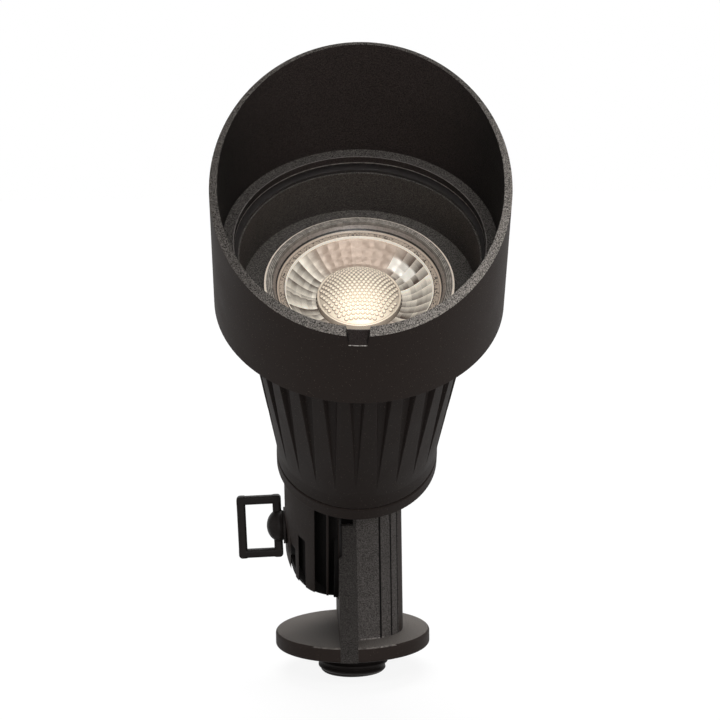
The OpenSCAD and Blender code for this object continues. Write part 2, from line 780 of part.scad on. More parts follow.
stem_base();
threaded_nipple();
pivot_insert();
pivot_gasket();
friction_washer();
screw_washer();
thumb_screw();
thumb_grip();
knuckle_arm();
collar_gasket();
arm_screws();
housing();
mouth_o_rings();
wire_grommet();
socket_bracket();
bracket_screws();
lamp_socket();
socket_contacts();
socket_leads();
lamp_cup();
lamp_base();
lamp_pins();
lamp_board();
lamp_optic();
lens();
lens_gasket();
cowl();
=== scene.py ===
import json
import math

import bmesh
import bpy
from mathutils import Matrix, Vector


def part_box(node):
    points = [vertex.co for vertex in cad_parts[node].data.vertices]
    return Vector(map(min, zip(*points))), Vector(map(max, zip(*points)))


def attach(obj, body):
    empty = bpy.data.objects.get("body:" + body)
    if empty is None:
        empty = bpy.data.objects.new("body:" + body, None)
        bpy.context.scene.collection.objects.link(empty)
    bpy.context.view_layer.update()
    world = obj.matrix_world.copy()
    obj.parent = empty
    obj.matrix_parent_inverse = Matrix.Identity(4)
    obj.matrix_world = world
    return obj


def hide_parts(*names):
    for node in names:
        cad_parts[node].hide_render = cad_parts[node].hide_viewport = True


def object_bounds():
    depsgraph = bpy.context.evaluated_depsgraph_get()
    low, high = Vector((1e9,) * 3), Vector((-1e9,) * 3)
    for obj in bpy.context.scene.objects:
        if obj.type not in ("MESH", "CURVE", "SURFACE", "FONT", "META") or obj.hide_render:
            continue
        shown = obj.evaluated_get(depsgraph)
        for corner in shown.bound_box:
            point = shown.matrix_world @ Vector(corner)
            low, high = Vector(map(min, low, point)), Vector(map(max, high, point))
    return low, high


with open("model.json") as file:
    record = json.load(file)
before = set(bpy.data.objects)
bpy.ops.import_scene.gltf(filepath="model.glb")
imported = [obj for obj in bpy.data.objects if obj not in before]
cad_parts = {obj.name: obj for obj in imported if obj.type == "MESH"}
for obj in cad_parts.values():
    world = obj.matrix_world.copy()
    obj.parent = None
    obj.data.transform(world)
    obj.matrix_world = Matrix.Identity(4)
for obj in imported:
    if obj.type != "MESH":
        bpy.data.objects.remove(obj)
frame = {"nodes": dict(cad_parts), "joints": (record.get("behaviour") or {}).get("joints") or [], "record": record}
nodes = frame["nodes"]
cad_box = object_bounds()

# The studio: a pale floor, a bright backdrop, soft boxes above, in front and on each side.
# The camera stands where the photograph was taken from, with a long lens.
mm = 0.001
camera_at = Vector((-17.2, -583.9, 162.97)) * mm
camera_yaw = math.radians(2.04)
camera_pitch = math.radians(7.5)
camera_roll = math.radians(-0.95)
camera_lens = 99.15
backdrop_fade = (0.45, 0.8)
ceiling_light = 0.05
fill_light = 0.07
lit_place = Vector((0, -40, 80)) * mm
floor_r = 3.0
floor_white = 0.9
floor_paint_tone = 0.12
shadow_reach = 250 * mm


def linear(red, green, blue):
    """A colour named by its 0 to 255 screen values, as the linear colour that sockets take."""
    def one(value):
        share = value / 255
        return share / 12.92 if share <= 0.04045 else ((share + 0.055) / 1.055) ** 2.4
    return (one(red), one(green), one(blue), 1.0)


def add(tree, kind, inputs=None, **settings):
    """A node with its settings and inputs. An input is a value, or the output it is fed from."""
    made = tree.nodes.new(kind)
    for name, value in settings.items():
        setattr(made, name, value)
    for name, value in (inputs or {}).items():
        if isinstance(value, bpy.types.NodeSocket):
            tree.links.new(value, made.inputs[name])
        else:
            made.inputs[name].default_value = value
    return made


def maths(tree, operation, *values, clamp=False):
    """The result of a math node on one to three values or outputs."""
    return add(tree, "ShaderNodeMath", dict(enumerate(values)), operation=operation,
               use_clamp=clamp).outputs[0]


def vectors(tree, operation, *values):
    """The result of a vector math node: a number for these three operations, else a vector."""
    as_number = operation in ("LENGTH", "DISTANCE", "DOT_PRODUCT")
    made = add(tree, "ShaderNodeVectorMath", dict(enumerate(values)), operation=operation)
    return made.outputs["Value" if as_number else "Vector"]


def ramp(tree, value, low, high, at_low=0.0, at_high=1.0, **settings):
    """Goes from at_low to at_high as the value goes from low to high, and stays there."""
    return add(tree, "ShaderNodeMapRange", {
        "Value": value, "From Min": low, "From Max": high, "To Min": at_low,
        "To Max": at_high}, **settings).outputs[0]


def where(tree):
    """Where a point of the surface is, in its object's own space."""
    return add(tree, "ShaderNodeTexCoord").outputs["Object"]


def seen_directly(tree):
    """1 for what the camera, a mirror or a window shows, and 0 for light on the object."""
    path = add(tree, "ShaderNodeLightPath")
    rays = maths(tree, "ADD", path.outputs["Is Camera Ray"], path.outputs["Is Glossy Ray"])
    return maths(tree, "ADD", rays, path.outputs["Is Transmission Ray"], clamp=True)


def new_finish(name, **values):
    """A material with its shader's plain values: (material, node tree, shader)."""
    made = bpy.data.materials.new(name)
    made.use_nodes = True
    shader = made.node_tree.nodes["Principled BSDF"]
    for socket, value in values.items():
        shader.inputs[socket.replace("_", " ")].default_value = value
    return made, made.node_tree, shader


camera = bpy.data.objects.new("camera", bpy.data.cameras.new("camera"))
camera.data.lens = camera_lens
camera.data.clip_start = 10 * mm
camera.data.dof.use_dof = False
camera.matrix_world = (Matrix.Translation(camera_at) @ Matrix.Rotation(-camera_yaw, 4, "Z")
                       @ Matrix.Rotation(math.pi / 2 - camera_pitch, 4, "X")
                       @ Matrix.Rotation(camera_roll, 4, "Z"))
bpy.context.scene.collection.objects.link(camera)
bpy.context.scene.camera = camera
bpy.context.scene.view_settings.view_transform = "Standard"

world = bpy.data.worlds.new("studio")
world.use_nodes = True
bpy.context.scene.world = world
air = world.node_tree
looking = add(air, "ShaderNodeTexCoord").outputs["Generated"]
height = add(air, "ShaderNodeSeparateXYZ", {0: looking}).outputs["Z"]
backdrop = ramp(air, height, *backdrop_fade, 1.0, ceiling_light)
shown = seen_directly(air)
light = maths(air, "ADD", maths(air, "MULTIPLY", shown, backdrop),
              maths(air, "MULTIPLY", maths(air, "SUBTRACT", 1.0, shown), fill_light))
air.links.new(light, air.nodes["Background"].inputs["Color"])

# Each soft box has its place, width and depth in mm, and its power in watts.
for name, at, width, depth, watts in [
        ("soft_box_above", (0, 330, 820), 700, 420, 6.5),
        ("soft_box_front_above", (0, -600, 680), 600, 240, 2.6),
        ("soft_box_front", (150, -950, 230), 420, 420, 3.2),
        ("soft_box_left", (-700, -250, 260), 300, 700, 0.6),
        ("soft_box_right", (720, -200, 200), 300, 700, 0.9)]:
    lamp = bpy.data.lights.new(name, "AREA")
    lamp.shape = "RECTANGLE"
    lamp.size = width * mm
    lamp.size_y = depth * mm
    lamp.energy = watts
    box = bpy.data.objects.new(name, lamp)
    box.location = Vector(at) * mm
    box.rotation_mode = "QUATERNION"
    box.rotation_quaternion = (lit_place - box.location).to_track_quat("-Z", "Y")
    bpy.context.scene.collection.objects.link(box)

floor_mesh = bmesh.new()
bmesh.ops.create_circle(floor_mesh, cap_ends=True, radius=floor_r, segments=96,
                        matrix=Matrix.Translation((0, 0, cad_box[0].z)))
floor_data = bpy.data.meshes.new("floor")
floor_mesh.to_mesh(floor_data)
floor_mesh.free()
floor = bpy.data.objects.new("floor", floor_data)
bpy.context.scene.collection.objects.link(floor)
floor_paint, paint, paint_shader = new_finish(
    "floor_paint", Base_Color=(floor_paint_tone,) * 3 + (1,), Roughness=0.9,
    Specular_IOR_Level=0.0, Emission_Color=(1, 1, 1, 1))
shown = seen_directly(paint)
away = vectors(paint, "LENGTH", where(paint))
white = ramp(paint, away, shadow_reach, 3 * shadow_reach, floor_white, 1.0)
paint.links.new(maths(paint, "MULTIPLY", shown, white), paint_shader.inputs["Emission Strength"])
floor_data.materials.append(floor_paint)


# The base: one aluminium casting of flange, upright plate and panelled half round, under a
# dark bronze powder coat with a fine grain. The coat's flakes catch the light here and there,
# which is painted as pale flecks: a painted sparkle.
coat_colour = linear(46, 39, 36)
coat_edge_r = 0.35 * mm
grain_size = 0.3 * mm
flake_size = 0.22 * mm
flange_top = 4.5 * mm
flange_edge_r = 22.55 * mm
flange_front_y = -19.5 * mm
plate_x = (-4.3 * mm, 0.9 * mm)
foot_glint_z = (flange_top + 0.05 * mm, flange_top + 0.4 * mm)
foot_glint_x = (plate_x[1] + 1 * mm, 9 * mm)
panel_bearings = (32, 48.5, 62, 76)
groove_half = math.radians(1.2)
notch_box = {"X": (-3.4 * mm, 0.0), "Y": (-22.8 * mm, -20.4 * mm), "Z": (40.9 * mm, 43.8 * mm)}


def blended(tree, share, first, second):
    """The colour that goes from first to second as share goes from 0 to 1."""
    return add(tree, "ShaderNodeMix", {0: share, 6: first, 7: second},
               data_type="RGBA").outputs[2]


def shade(colour, factor):
    """A colour made lighter or darker."""
    return tuple(channel * factor for channel in colour[:3]) + (1.0,)


def object_noise(tree, size, detail=2.0, roughness=0.5):
    """Soft noise in the object's own space, whose blobs are about size across."""
    return add(tree, "ShaderNodeTexNoise", {
        "Vector": where(tree), "Scale": 1 / size, "Detail": detail,
        "Roughness": roughness}).outputs[0]


def flakes(tree, size, share):
    """1 on a share of small round flakes, strewn at random, and 0 elsewhere."""
    flake_reach = 0.42
    cells = add(tree, "ShaderNodeTexVoronoi", {"Vector": where(tree), "Scale": 1 / size})
    draw = add(tree, "ShaderNodeSeparateColor", {0: cells.outputs["Color"]}).outputs[0]
    chosen = maths(tree, "GREATER_THAN", draw, 1 - share)
    inside = maths(tree, "LESS_THAN", cells.outputs["Distance"], flake_reach)
    return maths(tree, "MULTIPLY", chosen, inside)


def leaning(tree, direction):
    """How far the surface's normal leans along a direction, from -1 to 1."""
    normal = add(tree, "ShaderNodeTexCoord").outputs["Normal"]
    return vectors(tree, "DOT_PRODUCT", normal, direction)


def facing(tree, direction, least):
    """1 where the normal leans more than that along a direction, and 0 elsewhere."""
    return maths(tree, "GREATER_THAN", leaning(tree, direction), least)


def grainy(tree, shader, height, depth, edge_r, strength=1.0):
    """Gives a shader a relief of that depth, on edges that are rounded to edge_r."""
    edge = add(tree, "ShaderNodeBevel", {"Radius": edge_r}, samples=6).outputs[0]
    relief = add(tree, "ShaderNodeBump", {"Height": height, "Distance": depth,
                                          "Strength": strength, "Normal": edge})
    tree.links.new(relief.outputs[0], shader.inputs["Normal"])


def between(tree, axis, low, high=1.0):
    """1 where an object coordinate of the surface lies between two values, and 0 elsewhere."""
    value = add(tree, "ShaderNodeSeparateXYZ", {0: where(tree)}).outputs[axis]
    return maths(tree, "MULTIPLY", maths(tree, "GREATER_THAN", value, low),
                 maths(tree, "LESS_THAN", value, high))


def cast_coat(name, colour, light_and_shade_patches=()):
    """Powder coat on a casting. Each patch is (its mask, grain, dark tone, pale tone): where
    the mask, made by a function of the tree, is 1, the coat is coarser and speckled between
    the patch's tones, which paint light or shade onto that part."""
    made, tree, shader = new_finish(name, Specular_IOR_Level=0.07)
    cloud = object_noise(tree, 9 * mm, 3.0)
    height = object_noise(tree, grain_size, 2.0, 0.6)
    flake_glint = maths(tree, "MULTIPLY", flakes(tree, flake_size, 0.02), 0.25)
    mottle = maths(tree, "MULTIPLY_ADD", height, 0.6, maths(tree, "MULTIPLY", cloud, 0.4))
    tone = blended(tree, mottle, shade(colour, 0.62), shade(colour, 1.38))
    # Pale flakes on the coat: a painted sparkle.
    tone = blended(tree, flake_glint, tone, linear(150, 136, 122))
    for mask_of, grain, dark, pale in light_and_shade_patches:
        mask = mask_of(tree)
        speck = ramp(tree, object_noise(tree, grain, 3.0, 0.7), 0.37, 0.68)
        tone = blended(tree, mask, tone, blended(tree, speck, dark, pale))
        height = maths(tree, "MULTIPLY_ADD", maths(tree, "MULTIPLY", speck, 1.4), mask, height)
    tree.links.new(tone, shader.inputs["Base Color"])
    tree.links.new(maths(tree, "MULTIPLY_ADD", cloud, 0.12, 0.54), shader.inputs["Roughness"])
    grainy(tree, shader, height, 0.08 * mm, coat_edge_r, 0.6)
    return made


def dress(node, finish):
    """Gives a piece from the frame its finish."""
    nodes[node].material_slots[0].material = finish


def lit_post_front(tree):
    """What faces forward above the flange, and on the plate, painted lighter: a painted light."""
    place = maths(tree, "MAXIMUM", between(tree, "Z", flange_top), between(tree, "X", *plate_x))
    return maths(tree, "MULTIPLY", facing(tree, (0, -1, 0), 0.55), place)


def shaded_plate_edge(tree):
    """The plate's narrow front edge, painted darker than the post's front: a painted shade."""
    return maths(tree, "MULTIPLY", facing(tree, (0, -1, 0), 0.9), between(tree, "X", *plate_x))


def foot_glint(tree):
    """A low strip round the half round's foot, beside the plate, that catches the light."""
    return maths(tree, "MULTIPLY", between(tree, "Z", *foot_glint_z),
                 between(tree, "X", *foot_glint_x))


def rim_glint(tree):
    """The flange's upper edge in front, beside the plate."""
    out = vectors(tree, "LENGTH", vectors(tree, "MULTIPLY", where(tree), (1, 1, 0)))
    edge = maths(tree, "MULTIPLY", maths(tree, "GREATER_THAN", out, flange_edge_r),
                 between(tree, "Z", flange_top - 0.4 * mm, flange_top + 0.2 * mm))
    beside = maths(tree, "SUBTRACT", 1.0, between(tree, "X", *plate_x))
    front = maths(tree, "MULTIPLY", beside, between(tree, "Y", -1.0, flange_front_y))
    return maths(tree, "MULTIPLY", edge, front)


def shaded_panel_grooves(tree):
    """The four upright grooves between the panels on each side, by their bearing: painted shade."""
    spot = add(tree, "ShaderNodeSeparateXYZ", {0: where(tree)})
    bearing = maths(tree, "ARCTAN2", maths(tree, "ABSOLUTE", spot.outputs["X"]),
                    maths(tree, "MULTIPLY", spot.outputs["Y"], -1.0))
    found = 0.0
    for angle in panel_bearings:
        here = maths(tree, "COMPARE", bearing, math.radians(angle), groove_half)
        found = maths(tree, "MAXIMUM", found, here)
    return maths(tree, "MULTIPLY", found, between(tree, "Z", flange_top))


def shaded_plate_relief(tree):
    """The small notch in the plate's front edge, beside the arm, painted dark: a painted shade."""
    inside = 1.0
    for axis, (low, high) in notch_box.items():
        inside = maths(tree, "MULTIPLY", inside, between(tree, axis, low, high))
    return inside


def lit_flange_face(tree):
    """What looks up: the flange's top, painted lighter as painted light."""
    return facing(tree, (0, 0, 1), 0.9)


# Painted on the post: its front and the flange's top are painted lighter as painted light, the foot strip and the
# flange's front edge get painted highlights, and the plate's edge, the grooves and the notch are painted darker as
# painted shade.
dress("stem_base", cast_coat("post_coat", coat_colour, [
    (lit_post_front, 0.27 * mm, linear(46, 42, 40), linear(124, 119, 116)),
    (shaded_plate_edge, 0.27 * mm, linear(34, 31, 30), linear(92, 88, 85)),
    (foot_glint, 0.6 * mm, linear(60, 56, 54), linear(190, 182, 176)),
    (shaded_panel_grooves, 0.3 * mm, linear(14, 12, 11), linear(28, 25, 24)),
    (shaded_plate_relief, 0.3 * mm, linear(8, 7, 7), linear(16, 14, 13)),
    (lit_flange_face, 0.3 * mm, linear(70, 65, 62), linear(144, 138, 132)),
    (rim_glint, 0.8 * mm, linear(56, 52, 50), linear(150, 143, 137))]))


# The nipple: a turned tube with a coarse pipe thread under a thin, dark coat, pressed into
# the flange. Its thread is the half inch straight one, with fourteen turns to the inch.
nipple_low, nipple_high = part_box("threaded_nipple")
nipple_r = frame["record"]["mounts"][0]["dims"]["r_mm"] * mm
nipple_bore_r = 6.0 * mm
nipple_pitch = 25.4 / 14 * mm
nipple_depth = 0.8 * mm


def placed(name, mesh, place=None):
    """An object at the origin with this mesh, whose own place is given as a matrix."""
    if place:
        mesh.transform(place)
    made = bpy.data.objects.new(name, mesh)
    bpy.context.scene.collection.objects.link(made)
    return made


def smoothed(mesh, sharpest=math.radians(35)):
    """Shades a mesh smooth, apart from edges that turn more than an angle."""
    mesh.shade_smooth()
    mesh.set_sharp_from_angle(angle=sharpest)


def turned(name, outline, finish, facets=160):
    """A turned mesh: a closed outline of (radius, height) points spun round the Z axis."""
    shape = bmesh.new()
    rings = []
    for r, z in outline:
        if r < 1e-7:
            rings.append([shape.verts.new((0, 0, z))] * facets)
        else:
            rings.append([shape.verts.new((r * math.cos(a), r * math.sin(a), z))
                          for a in (math.tau * k / facets for k in range(facets))])
    for low, high in zip(rings, rings[1:] + rings[:1]):
        for k in range(facets):
            corners = [low[k], low[(k + 1) % facets], high[(k + 1) % facets], high[k]]
            corners = list(dict.fromkeys(corners))
            if len(corners) > 2:
                shape.faces.new(corners)
    bmesh.ops.recalc_face_normals(shape, faces=shape.faces)
    mesh = bpy.data.meshes.new(name)
    shape.to_mesh(mesh)
    shape.free()
    mesh.materials.append(finish)
    smoothed(mesh)
    return mesh


def new_tree(name, sizes):
    """A geometry tree with inputs for sizes and finish: (tree, input node, output node)."""
    tree = bpy.data.node_groups.new(name, "GeometryNodeTree")
    tree.interface.new_socket("Geometry", in_out="INPUT", socket_type="NodeSocketGeometry")
    for size, kind in sizes.items():
        tree.interface.new_socket(size, in_out="INPUT", socket_type=kind)
    tree.interface.new_socket("Finish", in_out="INPUT", socket_type="NodeSocketMaterial")
    tree.interface.new_socket("Geometry", in_out="OUTPUT", socket_type="NodeSocketGeometry")
    return tree, tree.nodes.new("NodeGroupInput"), tree.nodes.new("NodeGroupOutput")


def grown(piece, tree, **sizes):
    """Runs a geometry tree on a piece with these sizes, and keeps the result as its mesh."""
    modifier = piece.modifiers.new(tree.name, "NODES")
    modifier.node_group = tree
    for item in tree.interface.items_tree:
        size = item.name.replace(" ", "_").lower()
        if item.in_out == "INPUT" and size in sizes:
            modifier[item.identifier] = sizes[size]
    graph = bpy.context.evaluated_depsgraph_get()
    mesh = bpy.data.meshes.new_from_object(piece.evaluated_get(graph))
    piece.modifiers.remove(modifier)
    piece.data = mesh
    smoothed(mesh)


def completed(tree, given, result, *parts):
    """Ends a tree: its parts are joined, made real, given the finish and put out."""
    joined = add(tree, "GeometryNodeJoinGeometry")
    for part in parts:
        tree.links.new(part, joined.inputs[0])
    real = add(tree, "GeometryNodeRealizeInstances", {0: joined.outputs[0]})
    painted = add(tree, "GeometryNodeSetMaterial", {
        "Geometry": real.outputs[0], "Material": given.outputs["Finish"]})
    tree.links.new(painted.outputs[0], result.inputs[0])


# A thread: a trapezoid swept along a helix on the piece's root, full but for its two ends,
# where it runs out. Its widths are shares of the pitch.
number, count = "NodeSocketFloat", "NodeSocketInt"
foot_share = 0.94
crest_share = 0.2
sink_share = 0.49
run_out_turns = 1 / 9
thread_tree, given, result = new_tree("helical_thread", {
    "Root Radius": number, "Depth": number, "Pitch": number, "Start": number, "Length": number})
turns = maths(thread_tree, "DIVIDE", given.outputs["Length"], given.outputs["Pitch"])
helix = add(thread_tree, "GeometryNodeCurveSpiral", {
    "Resolution": 64, "Rotations": turns, "Height": given.outputs["Length"], "Reverse": False,
    "Start Radius": given.outputs["Root Radius"], "End Radius": given.outputs["Root Radius"]})
rise = add(thread_tree, "ShaderNodeCombineXYZ", {"Z": given.outputs["Start"]})
raised = add(thread_tree, "GeometryNodeTransform", {
    "Geometry": helix.outputs[0], "Translation": rise.outputs[0]})
share = add(thread_tree, "GeometryNodeSplineParameter").outputs["Factor"]
to_end = maths(thread_tree, "MINIMUM", share, maths(thread_tree, "SUBTRACT", 1.0, share))
run_out = maths(thread_tree, "MULTIPLY", maths(thread_tree, "MULTIPLY", to_end, turns),
                1 / run_out_turns, clamp=True)
upright = add(thread_tree, "GeometryNodeSetCurveNormal", {
    "Curve": raised.outputs[0]}, mode="Z_UP")
ridge_base = maths(thread_tree, "MULTIPLY", given.outputs["Pitch"], foot_share)
ridge_top = maths(thread_tree, "MULTIPLY", given.outputs["Pitch"], crest_share)
ridge = add(thread_tree, "GeometryNodeCurvePrimitiveQuadrilateral", {
    "Bottom Width": ridge_base, "Top Width": ridge_top, "Height": given.outputs["Depth"],
    "Offset": 0.0}, mode="TRAPEZOID")
outward = add(thread_tree, "ShaderNodeCombineXYZ", {
    "X": maths(thread_tree, "MULTIPLY", given.outputs["Depth"], -sink_share)})
ridge_turned = add(thread_tree, "GeometryNodeTransform", {
    "Geometry": ridge.outputs[0], "Translation": outward.outputs[0],
    "Rotation": (0, 0, math.pi / 2)})
swept = add(thread_tree, "GeometryNodeCurveToMesh", {
    "Curve": upright.outputs[0], "Profile Curve": ridge_turned.outputs[0],
    "Scale": run_out, "Fill Caps": True})
completed(thread_tree, given, result, given.outputs["Geometry"], swept.outputs[0])

nipple_coat, tree, shader = new_finish("nipple_coat", Roughness=0.5, Specular_IOR_Level=0.1)
wear = object_noise(tree, 1.6 * mm, 4.0, 0.6)
tree.links.new(blended(tree, wear, linear(18, 15, 14), linear(38, 34, 32)),
               shader.inputs["Base Color"])
grainy(tree, shader, wear, 0.05 * mm, 0.15 * mm, 0.5)

nipple_root = nipple_r - nipple_depth
nipple_chamfer = 0.4 * mm
nipple_thread_z = nipple_low.z + 0.9 * mm
nipple_outline = [
    (nipple_bore_r, nipple_low.z), (nipple_root - nipple_chamfer, nipple_low.z),
    (nipple_root, nipple_low.z + nipple_chamfer), (nipple_root, nipple_high.z),
    (nipple_bore_r, nipple_high.z)]
nipple = placed("nipple_thread", turned("nipple_thread", nipple_outline, nipple_coat))
grown(nipple, thread_tree, root_radius=nipple_root, depth=nipple_depth, pitch=nipple_pitch,
      start=nipple_thread_z, length=-nipple_thread_z, finish=nipple_coat)
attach(nipple, "base")
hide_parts("threaded_nipple")


# The pivot: a knurled brass insert in the post, a pressed fibre friction washer and a
# moulded rubber ring that keeps water off the wires.
def turned_metal(name, colour, roughness, groove=0.25 * mm, axis="X"):
    """Bare machined metal, with fine turning marks round an axis through its piece."""
    made, tree, shader = new_finish(name, Metallic=1.0)
    marks = add(tree, "ShaderNodeTexWave", {
        "Vector": where(tree), "Scale": 0.3 / groove, "Distortion": 1.5, "Detail": 2.0},
        wave_type="BANDS", bands_direction=axis).outputs["Fac"]
    stain = object_noise(tree, 3 * mm, 3.0)
    tree.links.new(blended(tree, stain, shade(colour, 0.75), colour), shader.inputs["Base Color"])
    tree.links.new(maths(tree, "MULTIPLY_ADD", stain, 0.16, roughness),
                   shader.inputs["Roughness"])
    grainy(tree, shader, marks, 0.01 * mm, 0.12 * mm, 0.5)
    return made


def moulded_rubber(name, colour, grain=0.5 * mm):
    """Moulded rubber or fibre, dull, with a fine grain and dusty patches."""
    made, tree, shader = new_finish(name, Specular_IOR_Level=0.35)
    dust = object_noise(tree, 4 * mm, 4.0)
    tree.links.new(blended(tree, dust, shade(colour, 0.8), shade(colour, 1.35)),
                   shader.inputs["Base Color"])
    tree.links.new(maths(tree, "MULTIPLY_ADD", dust, 0.2, 0.55), shader.inputs["Roughness"])
    grainy(tree, shader, object_noise(tree, grain, 2.0), 0.03 * mm, 0.15 * mm, 0.5)
    return made


brass = turned_metal("machined_brass", linear(205, 170, 105), 0.25)
black_rubber = moulded_rubber("black_rubber", linear(30, 26, 25))
dress("pivot_insert", brass)
dress("pivot_gasket", black_rubber)
dress("friction_washer", moulded_rubber("brake_fibre", linear(110, 84, 66), 0.8 * mm))


# The thumb screw: a plated steel shank with its washer, and a cast grip of a round boss and
# an open rectangular loop under a smoother, darker coat.
screw_low, screw_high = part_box("thumb_screw")
screw_r = (screw_high.z - screw_low.z) / 2
screw_pitch = 1.0 * mm
screw_depth = 0.55 * mm
plain_length = 3.4 * mm
screw_tip = 0.5 * mm
screw_thread_at = 3.6 * mm
pivot = Vector(next(j["pos_m"] for j in frame["joints"] if j["name"] == "head_tilt"))
along_x = Matrix.Rotation(math.pi / 2, 4, "Y")

zinc = turned_metal("zinc_plate", linear(178, 178, 172), 0.3)
shank_length = screw_high.x - screw_low.x
shank_root = screw_r - screw_depth
shank_outline = [(0, 0), (screw_r, 0), (screw_r, plain_length),
                 (shank_root, plain_length + 0.4 * mm), (shank_root, shank_length - screw_tip),
                 (shank_root - screw_tip, shank_length), (0, shank_length)]
shank = placed("screw_shank", turned("screw_shank", shank_outline, zinc, 64))
grown(shank, thread_tree, root_radius=shank_root, depth=screw_depth, pitch=screw_pitch,
      start=screw_thread_at, length=shank_length - screw_thread_at - 0.6 * mm, finish=zinc)
shank.data.transform(Matrix.Translation((screw_low.x, 0, pivot.z)) @ along_x)
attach(shank, "clamp_screw")
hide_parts("thumb_screw")

grip_coat, tree, shader = new_finish("grip_coat", Specular_IOR_Level=0.1)
worn = object_noise(tree, 2.4 * mm, 4.0)
tree.links.new(blended(tree, worn, linear(18, 15, 14), linear(38, 33, 31)),
               shader.inputs["Base Color"])
tree.links.new(maths(tree, "MULTIPLY_ADD", worn, 0.2, 0.36), shader.inputs["Roughness"])
grainy(tree, shader, object_noise(tree, 0.6 * mm, 3.0), 0.05 * mm, 0.5 * mm, 0.5)
dress("thumb_grip", grip_coat)
dress("screw_washer", grip_coat)


# The knuckle arm: a coated aluminium casting, a slotted half column with a collar on top.
# Three steel screws from inside the housing hold it, over a thin gasket.
head_axis = Vector(next(j["axis"] for j in frame["joints"] if j["name"] == "cowl_pull"))
head_tilt = math.atan2(-head_axis.y, head_axis.z)
head_x = Vector(next(j["pos_m"] for j in frame["joints"] if j["name"] == "cowl_turn")).x
head_place = Matrix.Translation((head_x, 0, pivot.z)) @ Matrix.Rotation(head_tilt, 4, "X")


def from_pivot(tree):
    """Where a point of the surface is, from the point where head axis and tilt axis cross."""
    return vectors(tree, "SUBTRACT", where(tree), tuple(head_place.translation))


def from_head_axis(tree):
    """How far a point of the surface is from the head's axis."""
    return vectors(tree, "LENGTH",
                   vectors(tree, "CROSS_PRODUCT", from_pivot(tree), tuple(head_axis)))


def along_head_axis(tree):
    """How far a point of the surface is above the tilt axis, along the head's axis."""
    return vectors(tree, "DOT_PRODUCT", from_pivot(tree), tuple(head_axis))


# The arm's slots, each with its lowest and highest x, and its top along the head's axis, in mm.
slots = [(-18.1, -16.8, 2.0), (-15.8, -13.9, 10.4), (-11.2, -7.8, 30.1), (-7.2, -4.4, 30.1)]


def shaded_slot_floors(tree):
    """The slots, painted dark down to their floors: a painted shade."""
    level = along_head_axis(tree)
    found = 0.0
    for low, high, top in slots:
        here = maths(tree, "MULTIPLY", between(tree, "X", low * mm, high * mm),
                     maths(tree, "LESS_THAN", level, top * mm))
        found = maths(tree, "MAXIMUM", found, here)
    return found


# The arm's coat is the base's coat painted darker, a painted shade.
arm_coat = cast_coat("arm_coat", shade(coat_colour, 0.8), [
    (shaded_slot_floors, 0.3 * mm, linear(9, 8, 7), linear(19, 16, 15))])
dress("knuckle_arm", arm_coat)
dress("collar_gasket", black_rubber)
dress("arm_screws", zinc)

# A web closes the slots under the dome: the space between two half planes through the tilt
# axis, as far out as the dome and the half column leave it.
dome_r = 21.5 * mm
dome_end_x = -20.8 * mm
dome_root_x = -4.6 * mm
dome_power = 0.86
column_r = 21.2 * mm
web_inset = 0.2 * mm
web_least_r = 4 * mm
web_angles = [math.radians(a) for a in (-14, -11, -8, -5, -2)]


def web_outline(tilted, steps=28):
    """The web's outer edge at an angle from straight down: (x, distance from the tilt axis)."""
    edge = []
    for k in range(steps + 1):
        a = math.pi / 2 * k / steps
        r = max(dome_r * math.cos(a) ** dome_power - web_inset, 0.0)
        x = dome_root_x + (dome_end_x - dome_root_x) * math.sin(a) ** dome_power + web_inset
        off_axis = r * abs(math.sin(head_tilt - tilted))
        edge.append((max(x, head_x - math.sqrt(column_r ** 2 - off_axis ** 2) + web_inset), r))
    return edge


web_shape = bmesh.new()
web_rows = []
for angle in web_angles:
    down = Vector((0, math.sin(angle), -math.cos(angle)))
    edge = [(x, r) for x, r in web_outline(angle) + [(dome_root_x, 0.0)]
            if r > web_least_r or x > dome_root_x - 1 * mm]
    web_rows.append([web_shape.verts.new((x, down.y * r, pivot.z + down.z * r))
                     for x, r in edge])
for one, other in zip(web_rows, web_rows[1:]):
    for k in range(len(one) - 1):
        web_shape.faces.new((one[k], one[k + 1], other[k + 1], other[k]))
web_shape.faces.new(web_rows[0][::-1])
web_shape.faces.new(web_rows[-1])
bmesh.ops.remove_doubles(web_shape, verts=web_shape.verts, dist=1e-6)
bmesh.ops.recalc_face_normals(web_shape, faces=web_shape.faces)
web_mesh = bpy.data.meshes.new("arm_web")
web_shape.to_mesh(web_mesh)
web_shape.free()
web_mesh.materials.append(arm_coat)
web = placed("arm_web", web_mesh)
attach(web, "head")


# The housing: an aluminium casting with flutes that start as points above its smooth foot.
# The seat round the lamp faces forward and has the same coat, a little coarser and painted
# paler, a painted light.
lamp_seat_at = 96.5 * mm
mouth_r = 31.5 * mm


def forward(tree):
    """What faces out along the head's axis."""
    return facing(tree, tuple(head_axis), 0.99)


def lit_mouth_inside(tree):
    """The wall of the mouth round the lamp, painted paler: a painted light."""
    above_seat = maths(tree, "GREATER_THAN", along_head_axis(tree), lamp_seat_at)
    inside = maths(tree, "LESS_THAN", from_head_axis(tree), mouth_r)
    return maths(tree, "MULTIPLY", above_seat, inside)


# The housing's coat is the base's coat painted darker, a painted shade, and its mouth's wall and seat are painted
# paler, painted light.
dress("housing", cast_coat("housing_coat", shade(coat_colour, 0.66), [
    (lit_mouth_inside, 0.3 * mm, linear(46, 42, 40), linear(100, 93, 88)),
    (forward, 0.3 * mm, linear(42, 39, 37), linear(128, 122, 117))]))
dress("mouth_o_rings", black_rubber)
dress("wire_grommet", black_rubber)


